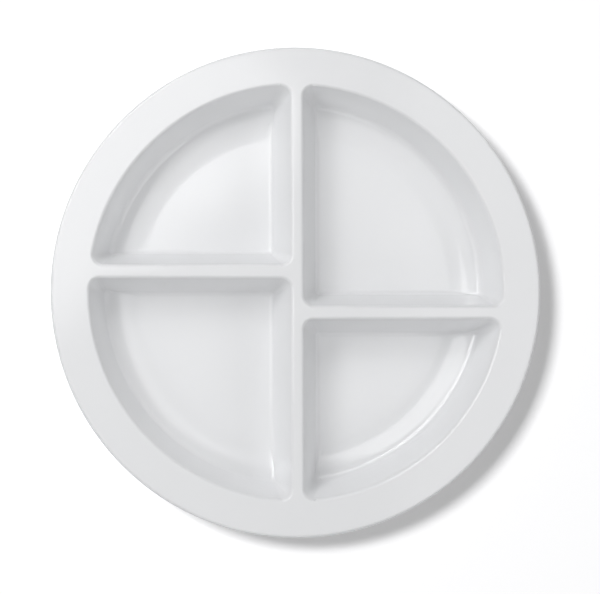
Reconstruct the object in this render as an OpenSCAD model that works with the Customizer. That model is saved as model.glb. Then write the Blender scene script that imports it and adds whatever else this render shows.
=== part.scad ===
// Round plate with four compartments, moulded in one piece.
// The origin is on the table, under the middle of the plate. +Y is the far side, +Z is up.

/* [Rim] */
// Diameter over the rim
plate_d = 260; // [210:1:320]
// Flat width of the rim, from its outer edge to the pockets
rim_w = 19.8; // [12:0.1:30]
// Thickness of the rim, which has a full round as its outer edge
rim_t = 3.2; // [2.4:0.1:4.5]

/* [Pockets] */
// Depth of the pockets below the rim
pocket_depth = 22.5; // [16:0.5:32]
// Slope of the walls along the long divider, in degrees from upright
long_draft = 21.5; // [12:0.5:30]
// Slope of the walls along the cross dividers, in the same way
cross_draft = 18; // [12:0.5:30]
// Slope of the curved walls, in the same way
curved_draft = 25; // [12:0.5:32]
// Thickness of the pocket walls and floors
wall_t = 2.8; // [2:0.1:4]
// Radius over the top edges of the rim and the dividers
edge_r = 2; // [1:0.1:3]
// Radius between a straight wall and the floor
floor_r = 3; // [2:0.25:8]
// Radius of the shallow bowl in which the floor rises towards the curved wall
bowl_r = 52; // [35:1:80]
// Slope of that bowl at its outer end, in degrees from level
bowl_slope = 17; // [8:0.5:24]
// Radius of the bend from the bowl up into the curved wall
bend_r = 6; // [4:0.25:9]
// Radius of the pocket corners in plan, where the walls would meet the rim without the edge radius
corner_r = 5.6; // [3:0.1:7]

/* [Dividers] */
// Width over the top of the long divider, where its faces would meet without the edge radius
long_divider_w = 6; // [5:0.1:12]
// Width over the top of the two cross dividers, in the same way
cross_divider_w = 6.8; // [5:0.1:12]
// How far the two cross dividers are set off the middle, to opposite sides
divider_shift = 10.9; // [0:0.1:25]

/* [Foot] */
// Height of the foot that lifts the floors off the table
foot_h = 1.2; // [0.6:0.1:4]
// Width of the foot
foot_w = 4; // [2.5:0.1:8]
// Distance from the rise of the floor in to the foot
foot_set_in = 3; // [1:0.5:12]

/* [Hidden] */
$fn = 180;

// Flat strips that make up each round of a wall's section
edge_steps = 5;
floor_steps = 6;
bend_steps = 5;
bowl_steps = 4;

// Part of a strip's length by which it runs on past the flat that it meets
run_on = 0.6;
// How far a corner's round reaches into the walls on its two sides
bite = 0.03;

plate_h = pocket_depth + wall_t + foot_h;
plate_r = plate_d / 2;
pocket_r = plate_r - rim_w;

pan_depth = pocket_depth + wall_t;

// Lengths that carry a cutting shape past the rim and past the floor
above = 2 * rim_t;
below = pan_depth + rim_t;

// Places of the inner walls, measured from the middle of the plate
long_wall = long_divider_w / 2;
wide_wall = cross_divider_w / 2 - divider_shift;
narrow_wall = cross_divider_w / 2 + divider_shift;

// The corners of a pocket follow the steepest of its walls
corner_draft = min(long_draft, cross_draft, curved_draft);

// Slopes of the four sections of a pocket: along the long divider, along the cross divider, at the
// curved wall and in the corners
drafts = [long_draft, cross_draft, curved_draft, corner_draft];

// The foot follows the rise of the floors on their outside
foot_outer_r = pocket_r + wall_run(curved_draft) - bowl_inset(pan_depth, wall_t) - foot_set_in;
foot_inner_r = foot_outer_r - foot_w;

// Level thickness of a wall
function wall_run(draft) = wall_t / cos(draft);

// Length from the corner between a wall and a level face to the start of its round of radius r
function tangent(draft, r) = r * tan((90 - draft) / 2);

// How far the flat of a floor lies inside a straight wall, with a radius larger by grow
function floor_inset(draft, depth, grow) = depth * tan(draft) + tangent(draft, floor_r + grow);

// How far the flat under a floor lies inside a straight wall's place at the rim
function flat_under(draft) = floor_inset(draft, pan_depth, wall_t) - wall_run(draft);

// Height that the bowl and the bend take up under a curved wall, and their level length
function bowl_rise(grow) =
    (bowl_r + grow) * (1 - cos(bowl_slope)) + (bend_r + grow) * (cos(bowl_slope) - sin(curved_draft));
function bowl_run(grow) =
    (bowl_r + grow) * sin(bowl_slope) + (bend_r + grow) * (cos(curved_draft) - sin(bowl_slope));

// How far the flat of a floor lies inside a curved wall
function bowl_inset(depth, grow) = (depth - bowl_rise(grow)) * tan(curved_draft) + bowl_run(grow);

// Round over the top edge, from the flat of the rim to a wall
function edge_points(draft) = [
    for (i = [0 : edge_steps])
        let (a = (90 - draft) * i / edge_steps)
        [edge_r * sin(a) - tangent(draft, edge_r), edge_r * (1 - cos(a))]
];

// Upper end of a wall on the outside, which runs on past the rim
function outer_top(draft) = [[-above * tan(draft), -above]];

// Round at the foot of a straight wall, down to the flat of the floor
function floor_points(draft, depth, grow) = [
    for (i = [floor_steps : -1 : 0])
        let (a = (90 - draft) * i / floor_steps)
        [floor_inset(draft, depth, grow), depth] - (floor_r + grow) * [sin(a), 1 - cos(a)]
];

// Bend at the foot of a curved wall, and the bowl down to the flat of the floor
function bowl_points(depth, grow) =
    let (
        flat = [bowl_inset(depth, grow), depth],
        joint = flat - (bowl_r + grow) * [sin(bowl_slope), 1 - cos(bowl_slope)]
    )
    concat(
        [
            for (i = [bend_steps : -1 : 1])
                let (a = bowl_slope + (90 - curved_draft - bowl_slope) * i / bend_steps)
                joint - (bend_r + grow) * [sin(a) - sin(bowl_slope), cos(bowl_slope) - cos(a)]
        ],
        [
            for (i = [bowl_steps : -1 : 0])
                let (a = bowl_slope * i / bowl_steps)
                flat - (bowl_r + grow) * [sin(a), 1 - cos(a)]
        ]
    );

// Foot of one of the four sections, of which the third is the curved wall's
function foot_points(i, depth, grow) =
    i == 2 ? bowl_points(depth, grow) : floor_points(drafts[i], depth, grow);

// The four whole sections as [inset, depth] points, inside the pocket and outside it
function hollow_sections() = [
    for (i = [0 : 3])
        concat(from_flat(edge_points(drafts[i])), to_flat(foot_points(i, pocket_depth, 0)))
];
function pan_sections() = [
    for (i = [0 : 3])
        concat(outer_top(drafts[i]), to_flat(foot_points(i, pan_depth, wall_t)))
];

// The same points with the first or the last strip run on past its flat
function from_flat(p) = concat([p[0] + run_on * (p[0] - p[1])], [for (i = [1 : len(p) - 1]) p[i]]);
function to_flat(p) =
    let (end = len(p) - 1)
    concat([for (i = [0 : end - 1]) p[i]], [p[end] + run_on * (p[end] - p[end - 1])]);

// The part of a section whose inset is under a limit, ended at that limit
function clipped(section, limit) = [
    for (i = [0 : len(section) - 1])
        let (p = section[i], q = section[min(i + 1, len(section) - 1)])
        if (p.x < limit)
            each p.x < limit && q.x >= limit ? [p, p + (q - p) * (limit - p.x) / (q.x - p.x)] : [p]
];

// Outline of all that lies on the pocket's side of a wall, out to an inset of far.
// Its points are [inset, height].
function inside_of(section, far) =
    let (first = section[0], last = section[len(section) - 1])
    concat(
        [[far, above], [first.x, above]],
        [for (p = section) [p.x, -p.y]],
        [[last.x, -below], [far, -below]]
    );

// Space on the pocket's side of a straight wall that runs along Y
module straight_wall(section) {
    rotate([90, 0, 0])
        linear_extrude(2 * plate_d, center = true)
            polygon(inside_of(section, plate_d));
}

// Space inside the curved wall, whose section starts at radius r
module curved_wall(section, r) {
    rotate_extrude()
        polygon([for (p = inside_of(section, r)) [r - p.x, p.y]]);
}

// What fills a sharp corner out to a round of radius r about a centre, between two directions
module corner_fill(section, r, centre, from, to) {
    side = 2 * (r + edge_r);
    middle = (from + to) / 2;
    part = clipped(section, r);
    last = part[len(part) - 1];
    translate(centre)
        difference() {
            translate([0, 0, -below - rim_t])
                linear_extrude(below + above + 2 * rim_t)
                    polygon([
                        [0, 0],
                        side * [cos(from), sin(from)],
                        sqrt(2) * side * [cos(middle), sin(middle)],
                        side * [cos(to), sin(to)]
                    ]);
            rotate_extrude()
                polygon(concat(
                    [[0, above + 2 * rim_t], [r + bite - part[0].x, above + 2 * rim_t]],
                    [for (p = part) [r + bite - p.x, -p.y]],
                    [[0, -last.y - bite]]
                ));
        }
}

// Pocket shape with inner walls at long_wall and side_wall, from one depth to another.
// It takes the four sections, and how far each of them moves outwards.
module pocket(side_wall, sections, grow, from_depth, to_depth) {
    x = long_wall - grow[0];
    y = side_wall - grow[1];
    big_r = pocket_r + grow[2];
    r = corner_r + grow[3];
    corner = sections[3];
    low = [sqrt(pow(big_r - r, 2) - pow(y + r, 2)), y + r];
    high = [x + r, sqrt(pow(big_r - r, 2) - pow(x + r, 2))];
    translate([0, 0, plate_h])
        difference() {
            intersection() {
                translate([0, 0, -to_depth])
                    cylinder(h = to_depth - from_depth, r = plate_r);
                translate([x, 0, 0])
                    straight_wall(sections[0]);
                translate([0, y, 0])
                    rotate(90)
                        mirror([0, 1, 0])
                            straight_wall(sections[1]);
                curved_wall(sections[2], big_r);
            }
            corner_fill(corner, r, [x + r, y + r], 180, 270);
            corner_fill(corner, r, low, -90, atan2(low.y, low.x));
            corner_fill(corner, r, high, atan2(high.y, high.x), 180);
        }
}

// The hollow that holds the food, open at the rim
module hollow(side_wall) {
    pocket(side_wall, hollow_sections(), [0, 0, 0, 0], -rim_t, pocket_depth);
}

// The outside of the pan round a hollow, one wall thickness away from it
module pan(side_wall) {
    grow = [for (draft = drafts) wall_run(draft)];
    pocket(side_wall, pan_sections(), grow, rim_t / 2, pan_depth);
}

// The flat disc of the rim, which also closes the dividers at the top
module rim() {
    translate([0, 0, plate_h - rim_t])
        rotate_extrude() {
            square([plate_r - rim_t / 2, rim_t]);
            translate([plate_r - rim_t / 2, rim_t / 2])
                circle(d = rim_t);
        }
}

// One stretch of the foot, whose ends keep the same distance from the rise of the floor
module foot(side_wall) {
    from_y = side_wall + flat_under(cross_draft) + foot_set_in;
    to_x = long_wall + flat_under(long_draft) + foot_set_in;
    from = asin(from_y / foot_inner_r);
    to = 90 - asin(to_x / foot_inner_r);
    rotate_extrude(angle = to - from, start = from)
        translate([foot_inner_r, 0])
            square([foot_w, foot_h + wall_t / 2]);
}

// The wide pockets lie right of the middle at the far side and left of it at the near side
module wide_pair() {
    for (a = [0, 180])
        rotate(a)
            children();
}

// The narrow pockets fill the other two places
module narrow_pair() {
    for (a = [0, 180])
        rotate(a)
            mirror([1, 0, 0])
                children();
}

module plate() {
    color("whitesmoke")
        difference() {
            union() {
                rim();
                wide_pair() {
                    pan(wide_wall);
                    foot(wide_wall);
                }
                narrow_pair() {
                    pan(narrow_wall);
                    foot(narrow_wall);
                }
            }
            wide_pair() hollow(wide_wall);
            narrow_pair() hollow(narrow_wall);
        }
}

plate();
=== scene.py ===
"""Looks of a round plate with four compartments, on a white studio table."""

import logging
import math
from dataclasses import dataclass
from enum import Enum
from typing import Optional, Sequence

import bmesh
import bpy
from mathutils import Matrix, Vector


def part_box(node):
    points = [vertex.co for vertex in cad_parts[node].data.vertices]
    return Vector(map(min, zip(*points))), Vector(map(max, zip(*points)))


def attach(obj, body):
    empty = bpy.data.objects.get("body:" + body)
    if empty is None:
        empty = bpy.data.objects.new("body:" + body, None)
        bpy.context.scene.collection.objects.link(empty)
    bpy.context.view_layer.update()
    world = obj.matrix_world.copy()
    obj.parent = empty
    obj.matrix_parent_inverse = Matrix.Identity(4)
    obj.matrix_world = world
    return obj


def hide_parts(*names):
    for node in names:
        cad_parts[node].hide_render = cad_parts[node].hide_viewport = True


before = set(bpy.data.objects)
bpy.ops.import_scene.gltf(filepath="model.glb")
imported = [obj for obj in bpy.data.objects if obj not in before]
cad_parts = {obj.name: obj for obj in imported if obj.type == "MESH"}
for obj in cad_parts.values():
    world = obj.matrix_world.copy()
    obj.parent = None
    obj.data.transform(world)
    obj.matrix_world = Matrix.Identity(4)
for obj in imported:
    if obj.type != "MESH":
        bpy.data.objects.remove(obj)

LOG = logging.getLogger("plate")

# Metres in a millimetre
MM = 0.001
# Points closer than this, in millimetres, are one point
TOUCH = 1e-4
# Vertex attribute that says how far the gloss of the mould is gone
WEAR = "wear"

Point = tuple[float, float]
Box = tuple[Vector, Vector]


class Polish(Enum):
    """How far the gloss of the mould is gone, as the wear attribute holds it."""

    GLOSS = 0.0
    SATIN = 0.4
    SCUFFED = 1.0


class PocketKind(Enum):
    """The two sizes of pocket, by the side that the cross divider is set off to."""

    WIDE = -1
    NARROW = 1


class Place(Enum):
    """The four places of a pocket, as seen from the near side."""

    FAR_RIGHT = "far_right"
    NEAR_LEFT = "near_left"
    FAR_LEFT = "far_left"
    NEAR_RIGHT = "near_right"

    @property
    def kind(self) -> PocketKind:
        """The kind of pocket that lies at this place."""
        wide = (Place.FAR_RIGHT, Place.NEAR_LEFT)
        return PocketKind.WIDE if self in wide else PocketKind.NARROW

    @property
    def matrix(self) -> Matrix:
        """Moves a pocket that was drawn in the far right quarter to this place."""
        half_turn = Matrix.Rotation(math.pi, 4, "Z")
        mirror = Matrix.Scale(-1.0, 4, Vector((1.0, 0.0, 0.0)))
        return {
            Place.FAR_RIGHT: Matrix.Identity(4),
            Place.NEAR_LEFT: half_turn,
            Place.FAR_LEFT: mirror,
            Place.NEAR_RIGHT: half_turn @ mirror,
        }[self]


class Lit(Enum):
    """What a lamp falls on."""

    PLATE = "plate"
    TABLE = "table"


@dataclass(frozen=True)
class Arc:
    """A round stretch of a level outline, in millimetres and radians."""

    centre: Point
    radius: float
    start: float
    sweep: float
    steps: int

    def first_point(self, height: float) -> Vector:
        """The point at which the arc starts, at a height.

        Args:
            height: Height of the point.

        Returns:
            The point.
        """
        x = self.centre[0] + self.radius * math.cos(self.start)
        y = self.centre[1] + self.radius * math.sin(self.start)
        return Vector((x, y, height))


@dataclass(frozen=True)
class Wall:
    """Section of a sloped wall between two level faces, in millimetres and degrees.

    A round leads from the upper face into the wall. A bend leads from the wall towards the
    lower face, and a shallow bowl, where there is one, the rest of the way.
    """

    draft: float
    top: float
    edge_r: float
    floor: float
    bend_r: float
    bowl_r: float = 0.0
    bowl_slope: float = 0.0

    @property
    def slope(self) -> float:
        """Run of the wall for each millimetre of depth."""
        return math.tan(math.radians(self.draft))

    @property
    def turn(self) -> float:
        """Angle between the wall and a level face."""
        return math.radians(90.0 - self.draft)

    @property
    def bowl_turn(self) -> float:
        """Slope of the bowl where it meets the bend."""
        return math.radians(self.bowl_slope)

    @property
    def bowl_rise(self) -> float:
        """Height of the bowl's outer end over the lower face."""
        return self.bowl_r * (1.0 - math.cos(self.bowl_turn))

    @property
    def bend_rise(self) -> float:
        """Height of the bend's upper end over the lower face."""
        return self.bowl_rise + self.bend_r * (math.cos(self.bowl_turn) - math.cos(self.turn))

    @property
    def flat_inset(self) -> float:
        """How far the flat of the lower face lies inside the wall's place at the rim."""
        run = self.bowl_r * math.sin(self.bowl_turn)
        run += self.bend_r * (math.sin(self.turn) - math.sin(self.bowl_turn))
        return (self.floor - self.bend_rise) * self.slope + run

    def edge_depths(self, steps: int) -> list[float]:
        """Depths at which the round under the upper face is cut into strips."""
        angles = [self.turn * i / steps for i in range(steps + 1)]
        return [self.top + self.edge_r * (1.0 - math.cos(angle)) for angle in angles]

    def floor_depths(self, bend_steps: int, bowl_steps: int) -> list[float]:
        """Depths at which the bend and the bowl are cut into strips.

        Args:
            bend_steps: Strips of the bend.
            bowl_steps: Strips of the bowl.

        Returns:
            The depths, from the wall down to the lower face.
        """
        low, high = self.bowl_turn, self.turn
        angles = [high + (low - high) * i / bend_steps for i in range(bend_steps)]
        rises = [self.bowl_rise + self.bend_r * (math.cos(low) - math.cos(angle)) for angle in angles]
        angles = [low * (1.0 - i / bowl_steps) for i in range(bowl_steps + 1)]
        rises += [self.bowl_r * (1.0 - math.cos(angle)) for angle in angles]
        return [self.floor - rise for rise in rises]

    def inset(self, depth: float) -> float:
        """How far the wall lies inside its place at the rim.

        Args:
            depth: Depth under the top of the rim.

        Returns:
            The inset, which is below nought in the upper round.
        """
        drop = depth - self.top
        if drop < self.edge_r * (1.0 - math.cos(self.turn)):
            angle = math.acos(1.0 - drop / self.edge_r)
            start = self.top * self.slope - self.edge_r * math.tan(self.turn / 2.0)
            return start + self.edge_r * math.sin(angle)
        rise = max(self.floor - depth, 0.0)
        if rise < self.bowl_rise:
            return self.flat_inset - self.bowl_r * math.sin(math.acos(1.0 - rise / self.bowl_r))
        if rise < self.bend_rise:
            angle = math.acos(min(math.cos(self.bowl_turn) - (rise - self.bowl_rise) / self.bend_r, 1.0))
            run = self.bowl_r * math.sin(self.bowl_turn)
            run += self.bend_r * (math.sin(angle) - math.sin(self.bowl_turn))
            return self.flat_inset - run
        return depth * self.slope


@dataclass(frozen=True)
class Walls:
    """Walls of one skin of a pocket: along the long divider, along the cross divider and curved."""

    along: Wall
    across: Wall
    curved: Wall
    thickness: float = 0.0

    def grow(self, wall: Wall) -> float:
        """Level distance by which a wall lies outside its place at the rim."""
        return self.thickness / math.cos(math.radians(wall.draft))


@dataclass(frozen=True)
class Ring:
    """One closed outline of a skin: its arcs, joined by straight lines, at a height."""

    arcs: tuple[Arc, ...]
    height: float
    polish: Polish


@dataclass(frozen=True)
class Fineness:
    """Steps into which the round stretches of the mesh are cut."""

    full_circle: int = 288
    curved_wall: int = 80
    corner: int = 10
    edge: int = 8
    bend: int = 9
    bowl: int = 11
    rim_edge: int = 14
    foot_end: int = 12
    foot_edge: int = 4


@dataclass(frozen=True)
class PlateSizes:
    """Sizes of the plate in millimetres, with slopes and drafts in degrees."""

    diameter: float
    height: float
    rim_w: float = 19.8
    rim_t: float = 3.2
    pocket_depth: float = 22.5
    long_draft: float = 21.5
    cross_draft: float = 18.0
    curved_draft: float = 25.0
    wall_t: float = 2.8
    edge_r: float = 2.0
    floor_r: float = 3.0
    bowl_r: float = 52.0
    bowl_slope: float = 17.0
    bend_r: float = 6.0
    corner_r: float = 5.6
    floor_corner_r: float = 1.6
    long_divider_w: float = 6.0
    cross_divider_w: float = 6.8
    divider_shift: float = 10.9
    under_rim_r: float = 1.3
    foot_h: float = 1.2
    foot_w: float = 4.0
    foot_set_in: float = 3.0
    foot_edge_r: float = 0.5

    @classmethod
    def from_box(cls, box: Box) -> "PlateSizes":
        """Takes the overall sizes from the plate's box.

        Args:
            box: Lowest and highest corner of the plate, in metres.

        Returns:
            The sizes of the plate.
        """
        low, high = box
        return cls(diameter=(high.x - low.x) / MM, height=(high.z - low.z) / MM)

    @property
    def outer_r(self) -> float:
        """Radius of the rim's outer edge."""
        return self.diameter / 2.0

    @property
    def pocket_r(self) -> float:
        """Radius of the curved walls at the rim."""
        return self.outer_r - self.rim_w

    @property
    def pan_depth(self) -> float:
        """Depth of the underside of the floors."""
        return self.pocket_depth + self.wall_t

    @property
    def hollow_walls(self) -> Walls:
        """Walls of a pocket's inside."""
        return self._walls(0.0, self.edge_r, self.pocket_depth, 0.0)

    @property
    def pan_walls(self) -> Walls:
        """Walls of a pocket's outside, one wall thickness away."""
        return self._walls(self.rim_t, self.under_rim_r, self.pan_depth, self.wall_t)

    def _walls(self, top: float, edge_r: float, floor: float, thickness: float) -> Walls:
        """Walls between two level faces.

        Args:
            top: Depth of the upper face.
            edge_r: Radius of the round under the upper face.
            floor: Depth of the lower face.
            thickness: Distance from the inside of the pocket.

        Returns:
            The walls.
        """
        round_r = self.floor_r + thickness
        bend_r = self.bend_r + thickness
        bowl_r = self.bowl_r + thickness
        return Walls(
            Wall(self.long_draft, top, edge_r, floor, round_r),
            Wall(self.cross_draft, top, edge_r, floor, round_r),
            Wall(self.curved_draft, top, edge_r, floor, bend_r, bowl_r, self.bowl_slope),
            thickness,
        )


class Outline:
    """A closed level outline, drawn point by point in a small mesh of its own."""

    def __init__(self, ring: Ring) -> None:
        """Draws the outline.

        Args:
            ring: Its arcs, which straight lines join, its height and its gloss.
        """
        self.mesh = bmesh.new()
        wear = self.mesh.verts.layers.float.new(WEAR)
        first = bmesh.ops.create_vert(self.mesh, co=ring.arcs[0].first_point(ring.height))["vert"][0]
        first[wear] = ring.polish.value
        tip = first
        for arc in ring.arcs:
            tip = self._line(tip, arc.first_point(ring.height))
            tip = self._round(tip, arc, ring.height)
        if (first.co - tip.co).length > TOUCH:
            bmesh.ops.contextual_create(self.mesh, geom=[tip, first])
        else:
            bmesh.ops.weld_verts(self.mesh, targetmap={tip: first})

    def _line(self, tip: bmesh.types.BMVert, end: Vector) -> bmesh.types.BMVert:
        """Draws a straight line, if its end isn't reached yet.

        Args:
            tip: Last point of the outline.
            end: Where the line ends.

        Returns:
            The new last point.
        """
        if (end - tip.co).length < TOUCH:
            return tip
        drawn = bmesh.ops.extrude_vert_indiv(self.mesh, verts=[tip])["verts"][0]
        drawn.co = end
        return drawn

    def _round(self, tip: bmesh.types.BMVert, arc: Arc, height: float) -> bmesh.types.BMVert:
        """Draws an arc.

        Args:
            tip: Last point of the outline, where the arc starts.
            arc: The arc.
            height: Height of the outline.

        Returns:
            The new last point.
        """
        spun = bmesh.ops.spin(
            self.mesh,
            geom=[tip],
            cent=(arc.centre[0], arc.centre[1], height),
            axis=(0.0, 0.0, 1.0),
            angle=arc.sweep,
            steps=arc.steps,
        )
        return next(item for item in spun["geom_last"] if isinstance(item, bmesh.types.BMVert))


class Skin:
    """A part of the plate's surface, in millimetres, that grows from outlines."""

    def __init__(self) -> None:
        """Starts an empty mesh with a layer for wear."""
        self.mesh = bmesh.new()
        self.mesh.verts.layers.float.new(WEAR)

    def loft(self, rings: Sequence[Ring]) -> None:
        """Draws outlines and joins each one to the next.

        Args:
            rings: The outlines, from one end of the surface to the other.
        """
        last: list[bmesh.types.BMEdge] = []
        for ring in rings:
            self.take_in(Outline(ring).mesh)
            drawn = [edge for edge in self.mesh.edges if edge.is_wire and edge not in last]
            if last:
                bmesh.ops.bridge_loops(self.mesh, edges=last + drawn)
            last = drawn

    def fill(self, height: float) -> None:
        """Fills the level face between the open edges at a height.

        Args:
            height: Height of the face.
        """
        edges = [edge for edge in self.mesh.edges if edge.is_boundary]
        level = [edge for edge in edges if all(abs(vert.co.z - height) < TOUCH for vert in edge.verts)]
        bmesh.ops.triangle_fill(self.mesh, use_beauty=True, edges=level, normal=(0.0, 0.0, 1.0))

    def move(self, place: Matrix) -> None:
        """Moves the whole surface."""
        bmesh.ops.transform(self.mesh, matrix=place, verts=self.mesh.verts)

    def take_in(self, other: bmesh.types.BMesh) -> None:
        """Adds another mesh to this surface and frees it.

        Args:
            other: The mesh.
        """
        carrier = bpy.data.meshes.new("carrier")
        other.to_mesh(carrier)
        other.free()
        self.mesh.from_mesh(carrier)
        bpy.data.meshes.remove(carrier)

    def hand_over(self, name: str) -> bpy.types.Object:
        """Turns the faces outwards and makes an object of the surface, in metres.

        Args:
            name: Name of the object and its mesh.

        Returns:
            The object, linked to the scene.
        """
        bmesh.ops.recalc_face_normals(self.mesh, faces=self.mesh.faces)
        bmesh.ops.scale(self.mesh, vec=(MM, MM, MM), verts=self.mesh.verts)
        for face in self.mesh.faces:
            face.smooth = True
        data = bpy.data.meshes.new(name)
        self.mesh.to_mesh(data)
        self.mesh.free()
        piece = bpy.data.objects.new(name, data)
        bpy.context.scene.collection.objects.link(piece)
        return piece


@dataclass(frozen=True)
class Pocket:
    """One compartment, drawn in the far right quarter of the plate."""

    sizes: PlateSizes
    fineness: Fineness
    kind: PocketKind

    @property
    def long_wall(self) -> float:
        """Place of the wall along the long divider."""
        return self.sizes.long_divider_w / 2.0

    @property
    def cross_wall(self) -> float:
        """Place of the wall along the cross divider."""
        return self.sizes.cross_divider_w / 2.0 + self.kind.value * self.sizes.divider_shift

    def ring(self, walls: Walls, depth: float, polish: Polish) -> Ring:
        """Outline of the pocket at one depth.

        Args:
            walls: Walls of the inside or the outside.
            depth: Depth under the top of the rim.
            polish: Gloss at this depth.

        Returns:
            The outline: three corners, which get sharper with the depth, and the curved wall.
        """
        sizes = self.sizes
        sharper = (sizes.corner_r - sizes.floor_corner_r) * min(depth / sizes.pocket_depth, 1.0)
        radius = sizes.corner_r - sharper + max(-walls.across.inset(depth), 0.0) + walls.thickness
        wall_r = sizes.pocket_r + walls.grow(walls.curved) - walls.curved.inset(depth)
        reach = wall_r - radius
        x = self.long_wall - walls.grow(walls.along) + walls.along.inset(depth) + radius
        y = self.cross_wall - walls.grow(walls.across) + walls.across.inset(depth) + radius
        low = (math.sqrt(reach**2 - y**2), y)
        high = (x, math.sqrt(reach**2 - x**2))
        low_angle = math.atan2(low[1], low[0])
        high_angle = math.atan2(high[1], high[0])
        steps = self.fineness.corner
        right = math.pi / 2.0
        arcs = (
            Arc((x, y), radius, math.pi, right, steps),
            Arc(low, radius, -right, low_angle + right, steps),
            Arc((0.0, 0.0), wall_r, low_angle, high_angle - low_angle, self.fineness.curved_wall),
            Arc(high, radius, high_angle, math.pi - high_angle, steps),
        )
        return Ring(arcs, sizes.height - depth, polish)

    def skin(self, walls: Walls, polish: Polish) -> list[Ring]:
        """Outlines of the inside or the outside, from the rim to the floor.

        Args:
            walls: Walls of the inside or the outside.
            polish: Gloss of the skin.

        Returns:
            The outlines.
        """
        fine = self.fineness
        depths = walls.across.edge_depths(fine.edge) + walls.curved.floor_depths(fine.bend, fine.bowl)
        return [self.ring(walls, depth, polish) for depth in depths]

    def foot(self) -> list[Ring]:
        """Outlines of the foot, from the underside of the floor to the table.

        Returns:
            The outlines.
        """
        sizes = self.sizes
        radius = sizes.foot_edge_r
        steps = self.fineness.foot_edge
        angles = [math.pi / 2.0 * i / steps for i in range(steps + 1)]
        flare = [(radius * (1.0 - math.sin(a)), sizes.foot_h - radius * (1.0 - math.cos(a))) for a in angles]
        edge = [(radius * (math.cos(a) - 1.0), radius * (1.0 - math.sin(a))) for a in angles]
        rings = [self._foot_ring(out, height, Polish.SATIN) for out, height in flare]
        return rings + [self._foot_ring(out, height, Polish.SCUFFED) for out, height in edge]

    def _foot_ring(self, out: float, height: float, polish: Polish) -> Ring:
        """Outline of the foot at one level: a bent strip with round ends.

        Args:
            out: Distance by which the outline lies outside the foot's plan.
            height: Height over the table.
            polish: Gloss at this level.

        Returns:
            The outline.
        """
        sizes = self.sizes
        walls = sizes.pan_walls
        flat_x = self.long_wall - walls.grow(walls.along) + walls.along.flat_inset
        flat_y = self.cross_wall - walls.grow(walls.across) + walls.across.flat_inset
        flat_r = sizes.pocket_r + walls.grow(walls.curved) - walls.curved.flat_inset
        inner_r = flat_r - sizes.foot_set_in - sizes.foot_w
        middle_r = inner_r + sizes.foot_w / 2.0
        half = sizes.foot_w / 2.0 + out
        spare = sizes.foot_w / 2.0 / middle_r
        low = math.asin((flat_y + sizes.foot_set_in) / inner_r) + spare
        high = math.pi / 2.0 - math.asin((flat_x + sizes.foot_set_in) / inner_r) - spare
        low_end = (middle_r * math.cos(low), middle_r * math.sin(low))
        high_end = (middle_r * math.cos(high), middle_r * math.sin(high))
        along = self.fineness.curved_wall
        across = self.fineness.foot_end
        arcs = (
            Arc((0.0, 0.0), middle_r + half, low, high - low, along),
            Arc(high_end, half, high, math.pi, across),
            Arc((0.0, 0.0), middle_r - half, high, low - high, along),
            Arc(low_end, half, low + math.pi, math.pi, across),
        )
        return Ring(arcs, height, polish)


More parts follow.
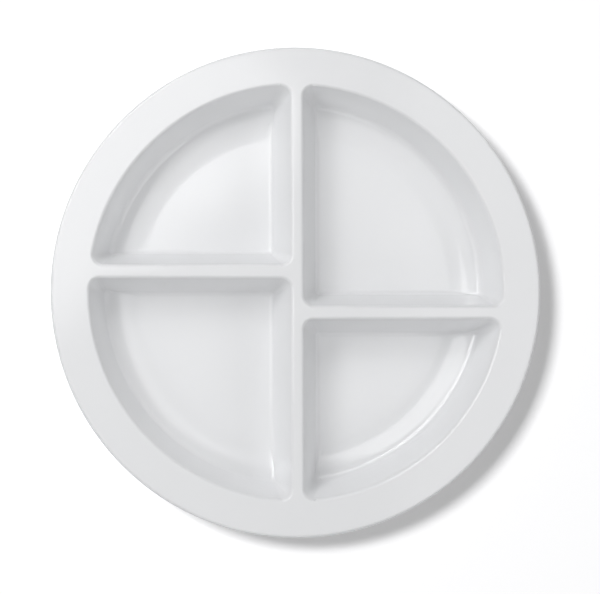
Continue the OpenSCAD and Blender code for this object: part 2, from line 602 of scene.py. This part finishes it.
@dataclass(frozen=True)
class MouldedWhite:
    """Glossy white moulded plastic, satin underneath and scuffed where it stands."""

    name: str = "moulded_white"
    colour: tuple[float, float, float] = (0.862, 0.868, 0.880)
    shade: tuple[float, float, float] = (0.838, 0.845, 0.858)
    scuffed: tuple[float, float, float] = (0.72, 0.72, 0.72)
    gloss_roughness: float = 0.1
    satin_roughness: float = 0.36
    scuffed_roughness: float = 0.6
    ior: float = 1.55
    cloud_scale: float = 28.0
    peel_scale: float = 320.0
    peel_height: float = 6e-6
    scratch_scale: tuple[float, float, float] = (2600.0, 60.0, 60.0)
    scratch_angles: tuple[float, ...] = (0.4, 1.9, 2.7)
    scratch_band: tuple[float, float] = (0.70, 0.80)
    scratch_dulling: float = 0.06
    scratch_depth: float = 1e-6
    scratch_strength: float = 0.2
    smear_scale: float = 45.0
    smear_spread: float = 0.03

    def build(self) -> bpy.types.Material:
        """Makes the material.

        Returns:
            The material.
        """
        material = bpy.data.materials.new(self.name)
        material.use_nodes = True
        tree = material.node_tree
        shader = tree.nodes["Principled BSDF"]
        shader.inputs["IOR"].default_value = self.ior
        place = tree.nodes.new("ShaderNodeTexCoord").outputs["Object"]
        wear = tree.nodes.new("ShaderNodeAttribute")
        wear.attribute_name = WEAR
        worn = wear.outputs["Fac"]
        tree.links.new(self._tone(tree, place, worn), shader.inputs["Base Color"])
        scratches = self._scratches(tree, place)
        tree.links.new(self._roughness(tree, place, worn, scratches), shader.inputs["Roughness"])
        tree.links.new(self._relief(tree, place, scratches), shader.inputs["Normal"])
        return material

    def _tone(
        self, tree: bpy.types.NodeTree, place: bpy.types.NodeSocket, worn: bpy.types.NodeSocket
    ) -> bpy.types.NodeSocket:
        """Colour with faint clouds in the resin, greyer where it is scuffed.

        Args:
            tree: Nodes of the material.
            place: Place on the plate, in metres.
            worn: How far the gloss is gone.

        Returns:
            The colour.
        """
        clouds = tree.nodes.new("ShaderNodeTexNoise")
        clouds.inputs["Scale"].default_value = self.cloud_scale
        clouds.inputs["Detail"].default_value = 3.0
        tree.links.new(place, clouds.inputs["Vector"])
        cloudy = self._mix(tree, clouds.outputs["Fac"], self.colour, self.shade)
        rub = tree.nodes.new("ShaderNodeMapRange")
        rub.inputs["From Min"].default_value = Polish.SATIN.value
        tree.links.new(worn, rub.inputs["Value"])
        mixed = tree.nodes.new("ShaderNodeMix")
        mixed.data_type = "RGBA"
        mixed.inputs["B"].default_value = (*self.scuffed, 1.0)
        tree.links.new(rub.outputs["Result"], mixed.inputs["Factor"])
        tree.links.new(cloudy, mixed.inputs["A"])
        return mixed.outputs["Result"]

    @staticmethod
    def _mix(
        tree: bpy.types.NodeTree,
        share: bpy.types.NodeSocket,
        one: tuple[float, float, float],
        other: tuple[float, float, float],
    ) -> bpy.types.NodeSocket:
        """Blend of two colours by a share.

        Args:
            tree: Nodes of the material.
            share: Share of the other colour.
            one: Colour at a share of 0.
            other: Colour at a share of 1.

        Returns:
            The blend.
        """
        mix = tree.nodes.new("ShaderNodeMix")
        mix.data_type = "RGBA"
        mix.inputs["A"].default_value = (*one, 1.0)
        mix.inputs["B"].default_value = (*other, 1.0)
        tree.links.new(share, mix.inputs["Factor"])
        return mix.outputs["Result"]

    def _scratches(self, tree: bpy.types.NodeTree, place: bpy.types.NodeSocket) -> bpy.types.NodeSocket:
        """Hairline scratches in a few directions, from 0 on bare gloss to 1 on a line.

        Args:
            tree: Nodes of the material.
            place: Place on the plate, in metres.

        Returns:
            The share of a scratch.
        """
        total: Optional[bpy.types.NodeSocket] = None
        for angle in self.scratch_angles:
            turn = tree.nodes.new("ShaderNodeMapping")
            turn.inputs["Rotation"].default_value = (0.0, 0.0, angle)
            turn.inputs["Scale"].default_value = self.scratch_scale
            tree.links.new(place, turn.inputs["Vector"])
            lines = tree.nodes.new("ShaderNodeTexNoise")
            lines.inputs["Scale"].default_value = 1.0
            lines.inputs["Detail"].default_value = 1.0
            tree.links.new(turn.outputs["Vector"], lines.inputs["Vector"])
            thin = tree.nodes.new("ShaderNodeMapRange")
            thin.inputs["From Min"].default_value = self.scratch_band[0]
            thin.inputs["From Max"].default_value = self.scratch_band[1]
            tree.links.new(lines.outputs["Fac"], thin.inputs["Value"])
            if total is None:
                total = thin.outputs["Result"]
                continue
            both = tree.nodes.new("ShaderNodeMath")
            both.operation = "MAXIMUM"
            tree.links.new(total, both.inputs[0])
            tree.links.new(thin.outputs["Result"], both.inputs[1])
            total = both.outputs["Value"]
        return total

    def _roughness(
        self,
        tree: bpy.types.NodeTree,
        place: bpy.types.NodeSocket,
        worn: bpy.types.NodeSocket,
        scratches: bpy.types.NodeSocket,
    ) -> bpy.types.NodeSocket:
        """Roughness by wear, with smears from wiping and hairline scratches.

        Args:
            tree: Nodes of the material.
            place: Place on the plate, in metres.
            worn: How far the gloss is gone.
            scratches: Share of a scratch, from 0 to 1.

        Returns:
            The roughness.
        """
        by_wear = tree.nodes.new("ShaderNodeValToRGB")
        ramp = by_wear.color_ramp
        ramp.elements[0].color = (self.gloss_roughness,) * 3 + (1.0,)
        ramp.elements[1].color = (self.scuffed_roughness,) * 3 + (1.0,)
        satin = ramp.elements.new(Polish.SATIN.value)
        satin.color = (self.satin_roughness,) * 3 + (1.0,)
        tree.links.new(worn, by_wear.inputs["Fac"])
        smears = tree.nodes.new("ShaderNodeTexNoise")
        smears.inputs["Scale"].default_value = self.smear_scale
        smears.inputs["Detail"].default_value = 4.0
        smears.inputs["Distortion"].default_value = 0.6
        tree.links.new(place, smears.inputs["Vector"])
        spread = tree.nodes.new("ShaderNodeMapRange")
        spread.inputs["To Min"].default_value = -self.smear_spread
        spread.inputs["To Max"].default_value = self.smear_spread
        tree.links.new(smears.outputs["Fac"], spread.inputs["Value"])
        smeared = tree.nodes.new("ShaderNodeMath")
        tree.links.new(by_wear.outputs["Color"], smeared.inputs[0])
        tree.links.new(spread.outputs["Result"], smeared.inputs[1])
        scratched = tree.nodes.new("ShaderNodeMath")
        scratched.operation = "MULTIPLY_ADD"
        scratched.inputs[1].default_value = self.scratch_dulling
        tree.links.new(scratches, scratched.inputs[0])
        tree.links.new(smeared.outputs["Value"], scratched.inputs[2])
        return scratched.outputs["Value"]

    def _relief(
        self, tree: bpy.types.NodeTree, place: bpy.types.NodeSocket, scratches: bpy.types.NodeSocket
    ) -> bpy.types.NodeSocket:
        """Surface normal with the faint waves of a moulded gloss and the scratches.

        Args:
            tree: Nodes of the material.
            place: Place on the plate, in metres.
            scratches: Share of a scratch, from 0 to 1.

        Returns:
            The normal.
        """
        peel = tree.nodes.new("ShaderNodeTexNoise")
        peel.inputs["Scale"].default_value = self.peel_scale
        peel.inputs["Detail"].default_value = 1.0
        tree.links.new(place, peel.inputs["Vector"])
        waves = tree.nodes.new("ShaderNodeBump")
        waves.inputs["Distance"].default_value = self.peel_height
        tree.links.new(peel.outputs["Fac"], waves.inputs["Height"])
        lines = tree.nodes.new("ShaderNodeBump")
        lines.invert = True
        lines.inputs["Strength"].default_value = self.scratch_strength
        lines.inputs["Distance"].default_value = self.scratch_depth
        tree.links.new(scratches, lines.inputs["Height"])
        tree.links.new(waves.outputs["Normal"], lines.inputs["Normal"])
        return lines.outputs["Normal"]


@dataclass(frozen=True)
class Plate:
    """The plate: one moulding with a rim, four pockets, hollow dividers and a foot."""

    sizes: PlateSizes
    fineness: Fineness
    finish: MouldedWhite
    name: str = "divided_plate"

    def build(self) -> bpy.types.Object:
        """Models the plate as one closed skin.

        Returns:
            The plate's object.
        """
        sizes = self.sizes
        plate = Skin()
        plate.loft(self._rim_edge())
        for place in Place:
            pocket = Pocket(sizes, self.fineness, place.kind)
            hollow = Skin()
            hollow.loft(pocket.skin(sizes.hollow_walls, Polish.GLOSS))
            hollow.fill(sizes.height - sizes.pocket_depth)
            pan = Skin()
            pan.loft(pocket.skin(sizes.pan_walls, Polish.SATIN))
            pan.loft(pocket.foot())
            pan.fill(sizes.height - sizes.pan_depth)
            pan.fill(0.0)
            for part in (hollow, pan):
                part.move(place.matrix)
                plate.take_in(part.mesh)
        plate.fill(sizes.height)
        plate.fill(sizes.height - sizes.rim_t)
        return plate.hand_over(self.name)

    def dress(self, piece: bpy.types.Object) -> None:
        """Gives the plate its finish and its place in the frame.

        Args:
            piece: The plate's object.
        """
        piece.data.materials.append(self.finish.build())
        even = piece.modifiers.new("even_shading", "WEIGHTED_NORMAL")
        even.keep_sharp = False
        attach(piece, "root")
        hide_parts("plate")

    def _rim_edge(self) -> list[Ring]:
        """Outlines of the rim's rounded outer edge, from the top to the underside.

        Returns:
            The outlines.
        """
        sizes = self.sizes
        half = sizes.rim_t / 2.0
        steps = self.fineness.rim_edge
        rings = []
        for i in range(steps + 1):
            angle = math.pi * i / steps
            radius = sizes.outer_r - half + half * math.sin(angle)
            depth = half * (1.0 - math.cos(angle))
            polish = Polish.GLOSS if depth < half else Polish.SATIN
            circle = Arc((0.0, 0.0), radius, 0.0, 2.0 * math.pi, self.fineness.full_circle)
            rings.append(Ring((circle,), sizes.height - depth, polish))
        return rings


@dataclass(frozen=True)
class SoftBox:
    """An oblong lamp with a white front, aimed at the plate. Lengths are in metres.

    Zenith and azimuth are in degrees, as seen from the plate. A card is seen in the gloss of
    the plate and gives no other light.
    """

    name: str
    zenith: float
    azimuth: float
    width: float
    height: float
    watts: float
    distance: float = 1.2
    lit: Lit = Lit.PLATE
    card: bool = False

    @property
    def place(self) -> Vector:
        """Middle of the lamp's front."""
        zenith, azimuth = math.radians(self.zenith), math.radians(self.azimuth)
        level = self.distance * math.sin(zenith)
        return Vector((level * math.cos(azimuth), level * math.sin(azimuth), self.distance * math.cos(zenith)))

    def build(self) -> bpy.types.Object:
        """Hangs the lamp.

        Returns:
            The lamp's object.
        """
        lamp = bpy.data.lights.new(self.name, "AREA")
        lamp.shape = "RECTANGLE"
        lamp.size = self.width
        lamp.size_y = self.height
        lamp.energy = self.watts
        hung = bpy.data.objects.new(self.name, lamp)
        hung.location = self.place
        hung.rotation_euler = (-self.place).to_track_quat("-Z", "Y").to_euler()
        hung.visible_diffuse = not self.card
        bpy.context.scene.collection.objects.link(hung)
        return hung


@dataclass(frozen=True)
class TablePaper:
    """Matt white paper on the table, which reads as pure white where no shadow falls."""

    name: str = "table_paper"
    colour: tuple[float, float, float] = (0.86, 0.86, 0.87)
    glow: float = 0.33

    def build(self) -> bpy.types.Material:
        """Makes the material.

        Returns:
            The material.
        """
        material = bpy.data.materials.new(self.name)
        material.use_nodes = True
        tree = material.node_tree
        shader = tree.nodes["Principled BSDF"]
        shader.inputs["Base Color"].default_value = (*self.colour, 1.0)
        shader.inputs["Roughness"].default_value = 0.9
        shader.inputs["Specular IOR Level"].default_value = 0.0
        seen = tree.nodes.new("ShaderNodeLightPath")
        lit = tree.nodes.new("ShaderNodeMath")
        lit.operation = "MULTIPLY"
        lit.inputs[1].default_value = self.glow
        tree.links.new(seen.outputs["Is Camera Ray"], lit.inputs[0])
        shader.inputs["Emission Color"].default_value = (1.0, 1.0, 1.0, 1.0)
        tree.links.new(lit.outputs["Value"], shader.inputs["Emission Strength"])
        return material


@dataclass(frozen=True)
class Camera:
    """The camera over the plate. Angles are in degrees and lengths in metres."""

    distance: float = 1.3
    lean_left: float = 4.2
    lean_near: float = 2.0
    picture_turn: float = 0.15
    aim: tuple[float, float, float] = (0.00135, -0.00275, 0.0265)
    view_width: float = 0.3175
    sensor: float = 36.0

    def build(self) -> bpy.types.Object:
        """Sets up the camera.

        Returns:
            The camera's object.
        """
        data = bpy.data.cameras.new("camera")
        data.sensor_fit = "HORIZONTAL"
        data.sensor_width = self.sensor
        data.lens = self.sensor * self.distance / self.view_width
        data.clip_start = 0.05
        data.clip_end = 50.0
        held = bpy.data.objects.new("camera", data)
        left = math.tan(math.radians(self.lean_left))
        near = math.tan(math.radians(self.lean_near))
        away = Vector((-left, -near, 1.0)).normalized() * self.distance
        held.location = Vector(self.aim) + away
        forward = -away.normalized()
        right = forward.cross(Vector((0.0, 1.0, 0.0))).normalized()
        up = right.cross(forward)
        level = Matrix((right, up, -forward)).transposed()
        turned = Matrix.Rotation(math.radians(-self.picture_turn), 3, "Z")
        held.rotation_euler = (level @ turned).to_euler()
        bpy.context.scene.collection.objects.link(held)
        bpy.context.scene.camera = held
        return held


@dataclass(frozen=True)
class Studio:
    """Table, lamps, surrounding light and camera."""

    camera: Camera
    paper: TablePaper
    lamps: tuple[SoftBox, ...]
    table_size: float = 6.0
    table_drop: float = 0.0002
    ambient: float = 0.1

    def build(self, plate: bpy.types.Object) -> None:
        """Sets up the studio round the plate.

        Args:
            plate: The plate's object.
        """
        things = {Lit.PLATE: plate, Lit.TABLE: self._table()}
        groups = {lit: self._group(lit, thing) for lit, thing in things.items()}
        self._surround()
        for lamp in self.lamps:
            lamp.build().light_linking.receiver_collection = groups[lamp.lit]
            LOG.info("lamp %s hung", lamp.name)
        self.camera.build()
        bpy.context.scene.view_settings.view_transform = "Standard"

    @staticmethod
    def _group(lit: Lit, thing: bpy.types.Object) -> bpy.types.Collection:
        """A group for the one thing that some lamps fall on.

        Args:
            lit: What the lamps fall on.
            thing: Its object.

        Returns:
            The group.
        """
        group = bpy.data.collections.new(f"lit_{lit.value}")
        group.objects.link(thing)
        return group

    def _table(self) -> bpy.types.Object:
        """Lays the table's top just under the foot.

        Returns:
            The table's object.
        """
        mesh = bmesh.new()
        bmesh.ops.create_grid(mesh, x_segments=1, y_segments=1, size=self.table_size / 2.0)
        bmesh.ops.translate(mesh, vec=(0.0, 0.0, -self.table_drop), verts=mesh.verts)
        data = bpy.data.meshes.new("table_top")
        mesh.to_mesh(data)
        mesh.free()
        data.materials.append(self.paper.build())
        table = bpy.data.objects.new("table_top", data)
        bpy.context.scene.collection.objects.link(table)
        return table

    def _surround(self) -> None:
        """Sets the even light of the room, which the camera sees as white."""
        world = bpy.data.worlds.new("room")
        world.use_nodes = True
        tree = world.node_tree
        light = tree.nodes["Background"]
        light.inputs["Color"].default_value = (1.0, 1.0, 1.0, 1.0)
        seen = tree.nodes.new("ShaderNodeLightPath")
        level = tree.nodes.new("ShaderNodeMapRange")
        level.inputs["To Min"].default_value = self.ambient
        level.inputs["To Max"].default_value = 1.0
        tree.links.new(seen.outputs["Is Camera Ray"], level.inputs["Value"])
        tree.links.new(level.outputs["Result"], light.inputs["Strength"])
        bpy.context.scene.world = world


def studio_lamps() -> tuple[SoftBox, ...]:
    """Plans the lamps: a ring of softboxes round the plate, two over it, two cards and the table's own.

    Returns:
        The lamps.
    """
    high = 1.7
    return (
        SoftBox("main", zenith=46.0, azimuth=142.0, width=0.8, height=0.3, watts=4.9),
        SoftBox("far", zenith=50.0, azimuth=100.0, width=0.6, height=0.4, watts=1.8),
        SoftBox("left", zenith=55.0, azimuth=185.0, width=0.7, height=0.45, watts=1.3),
        SoftBox("near_left", zenith=50.0, azimuth=222.0, width=0.6, height=0.4, watts=0.8),
        SoftBox("near", zenith=60.0, azimuth=265.0, width=0.7, height=0.4, watts=1.5),
        SoftBox("near_right", zenith=60.0, azimuth=326.0, width=0.6, height=0.3, watts=1.6),
        SoftBox("right", zenith=62.0, azimuth=355.0, width=0.7, height=0.4, watts=0.75),
        SoftBox("far_right", zenith=62.0, azimuth=45.0, width=0.7, height=0.4, watts=0.95),
        SoftBox("overhead", zenith=0.0, azimuth=0.0, width=1.3, height=1.3, watts=4.9, distance=high),
        SoftBox("overhead_left", zenith=13.0, azimuth=126.0, width=0.54, height=0.54, watts=2.1, distance=high),
        SoftBox("glow_card", zenith=28.0, azimuth=145.0, width=0.95, height=0.13, watts=3.9, card=True),
        SoftBox("rim_card", zenith=14.3, azimuth=0.0, width=1.0, height=0.34, watts=1.0, distance=high, card=True),
        SoftBox(
            "table_key", zenith=29.0, azimuth=152.0, width=0.86, height=0.86, watts=130.0, distance=4.0, lit=Lit.TABLE
        ),
    )


def main() -> None:
    """Builds the plate and its studio, in order."""
    logging.basicConfig(level=logging.INFO, format="%(name)s: %(message)s")
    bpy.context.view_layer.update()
    plate = Plate(PlateSizes.from_box(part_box("plate")), Fineness(), MouldedWhite())
    piece = plate.build()
    LOG.info("%s built, %d faces", piece.name, len(piece.data.polygons))
    plate.dress(piece)
    LOG.info("%s dressed in %s", piece.name, plate.finish.name)
    Studio(Camera(), TablePaper(), studio_lamps()).build(piece)
    LOG.info("studio set up")


if __name__ == "__main__":
    main()
